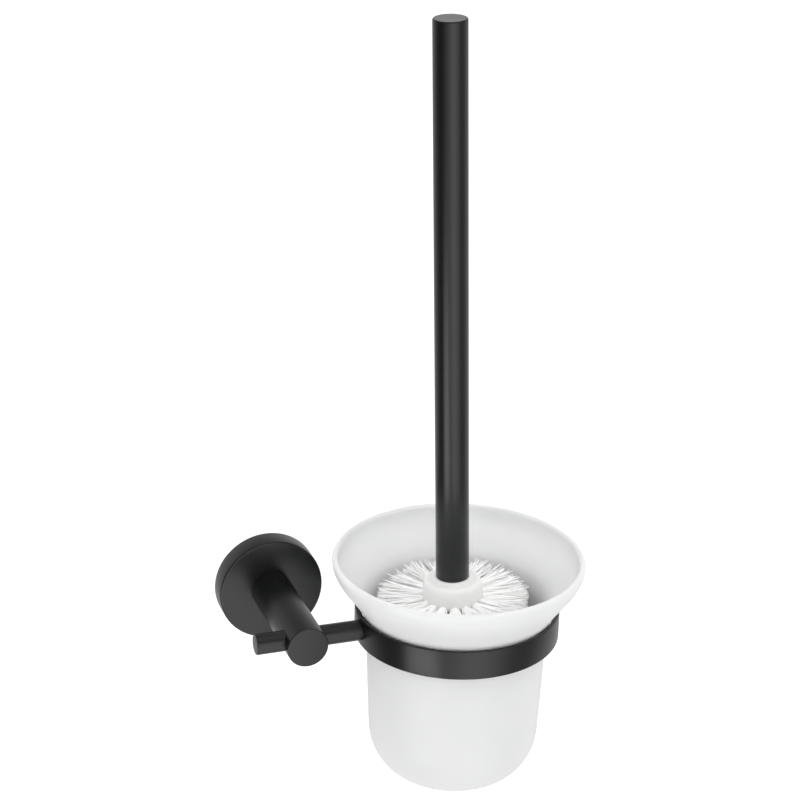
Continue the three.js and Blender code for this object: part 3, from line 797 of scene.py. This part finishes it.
def makeSurroundings():
    world = bpy.data.worlds.new("studio")
    world.use_nodes = True
    bpy.context.scene.world = world
    tree = world.node_tree
    tree.nodes.clear()
    aim = addNode(tree, "ShaderNodeTexCoord").outputs["Generated"]
    parts = addNode(tree, "ShaderNodeSeparateXYZ", links={0: aim})
    toFront = addNode(tree, "ShaderNodeMath", {"operation": "MULTIPLY", 1: -1}, {0: parts.outputs["Y"]})
    angle = addNode(tree, "ShaderNodeMath", {"operation": "ARCTAN2"},
                    {0: parts.outputs["X"], 1: toFront.outputs[0]})
    share = addNode(tree, "ShaderNodeMapRange", {"From Min": -math.pi, "From Max": math.pi},
                    {"Value": angle.outputs[0]})
    ramp = addNode(tree, "ShaderNodeValToRGB", links={"Fac": share.outputs[0]})
    ring = surroundings["ring"]
    brightest = max(level for _, level in ring)
    stops = ramp.color_ramp.elements
    while len(stops) < len(ring):
        stops.new(0.5)
    for stop, (degrees, level) in zip(stops, ring):
        stop.position = (degrees + 180) / 360
        stop.color = (*[level / brightest] * 3, 1)
    around = addNode(tree, "ShaderNodeMath", {"operation": "MULTIPLY", 1: brightest},
                     {0: ramp.outputs["Color"]})
    height = addNode(tree, "ShaderNodeMapRange", {
        "interpolation_type": "SMOOTHSTEP", "From Min": surroundings["zenithFrom"],
        "From Max": surroundings["zenithTo"]}, {"Value": parts.outputs["Z"]})
    rays = addNode(tree, "ShaderNodeLightPath")
    soft = addNode(tree, "ShaderNodeMath", {"operation": "MAXIMUM"}, {
        0: rays.outputs["Is Diffuse Ray"], 1: rays.outputs["Is Transmission Ray"]})
    side = addNode(tree, "ShaderNodeMix", {3: surroundings["sideFill"]},
                   {0: soft.outputs[0], 2: around.outputs[0]})
    above = addNode(tree, "ShaderNodeMix", {2: surroundings["zenith"], 3: surroundings["skyFill"]},
                    {0: soft.outputs[0]})
    level = addNode(tree, "ShaderNodeMix", links={
        0: height.outputs[0], 2: side.outputs[0], 3: above.outputs[0]})
    light = addNode(tree, "ShaderNodeBackground", {"Color": (1, 1, 1, 1)}, {"Strength": level.outputs[0]})
    backdrop = addNode(tree, "ShaderNodeBackground", {
        "Color": (1, 1, 1, 1), "Strength": surroundings["backdrop"]})
    mixed = addNode(tree, "ShaderNodeMixShader", links={
        0: rays.outputs["Is Camera Ray"], 1: light.outputs[0], 2: backdrop.outputs[0]})
    addNode(tree, "ShaderNodeOutputWorld", links={"Surface": mixed.outputs[0]})
    world.cycles.sampling_method = "NONE"


# Soft boxes in watts. Only the one overhead lights the white pieces, the other two are mirrored by
# the black ones.
softBoxes = {
    "overhead": {"place": (250, -350, 1500), "aim": (75, -60, 0), "across": 1400, "power": 2.8},
    "lowLeft": {"place": (-330, -330, -230), "aim": (75, -60, 0), "across": 300, "power": 0.7},
    "capCard": {"place": (170, 280, 490), "aim": (65, -60, 303), "across": 120, "power": 0.06},
}


def makeSoftBoxes():
    for name, box in softBoxes.items():
        lamp = bpy.data.lights.new(name, "AREA")
        lamp.size = box["across"] * mm
        lamp.energy = box["power"]
        softBox = bpy.data.objects.new(name, lamp)
        softBox.location = Vector(box["place"]) * mm
        away = softBox.location - Vector(box["aim"]) * mm
        softBox.rotation_euler = away.to_track_quat("Z", "Y").to_euler()
        softBox.visible_camera = False
        softBox.visible_diffuse = name == "overhead"
        bpy.context.scene.collection.objects.link(softBox)


shot = {
    "place": (-306.03, -1046.95, 564.19), "azimuth": -19.672, "pitch": 23.130, "roll": 1.544,
    "lens": 110.977, "nearest": 50, "farthest": 40000,
}


def makeCamera():
    camera = bpy.data.objects.new("camera", bpy.data.cameras.new("camera"))
    bpy.context.scene.collection.objects.link(camera)
    camera.data.lens = shot["lens"]
    camera.data.clip_start = shot["nearest"] * mm
    camera.data.clip_end = shot["farthest"] * mm
    turnTo = (Matrix.Rotation(math.radians(shot["azimuth"]), 4, "Z")
              @ Matrix.Rotation(math.radians(90 - shot["pitch"]), 4, "X")
              @ Matrix.Rotation(math.radians(shot["roll"]), 4, "Z"))
    camera.matrix_world = Matrix.Translation(Vector(shot["place"]) * mm) @ turnTo
    bpy.context.scene.camera = camera
    bpy.context.scene.view_settings.view_transform = "Standard"


makeFloor()
makeSurroundings()
makeSoftBoxes()
makeCamera()
print("studio ready")
makeFlangeCover()
makeBracket()
makePost()
makeRod()
makeRing()
makeSetScrew("flangeSetScrew", "flange_grub_screw")
makeSetScrew("rodSetScrew", "rod_grub_screw")
makeRingScrew()
print("holder built")
makeCup()
makeHandle()
makeHub()
print("cup, handle and hub built")
makeBristles()
print("bristles built")

finishes = {
    "black_coat": makePowderCoat(), "screw_steel": makeScrewSteel(), "bracket_zinc": makeCastZinc(),
    "frosted_glass": makeEtchedGlass(), "hub_plastic": makeHubPlastic(), "bristle_nylon": makeNylon(),
}
for piece, body, node, slot in pieces:
    piece.data.materials.clear()
    piece.data.materials.append(finishes[slot])
    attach(piece, body)
    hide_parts(node)

# The fastenings inside keep the frame's own shapes.
for node, slot in (("post_washer", "screw_steel"), ("post_screw", "screw_steel"),
                   ("threaded_stud", "screw_steel"), ("handle_insert", "bracket_zinc")):
    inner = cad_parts[node]
    inner.data.materials.clear()
    inner.data.materials.append(finishes[slot])
print("finishes given to", len(pieces), "pieces")
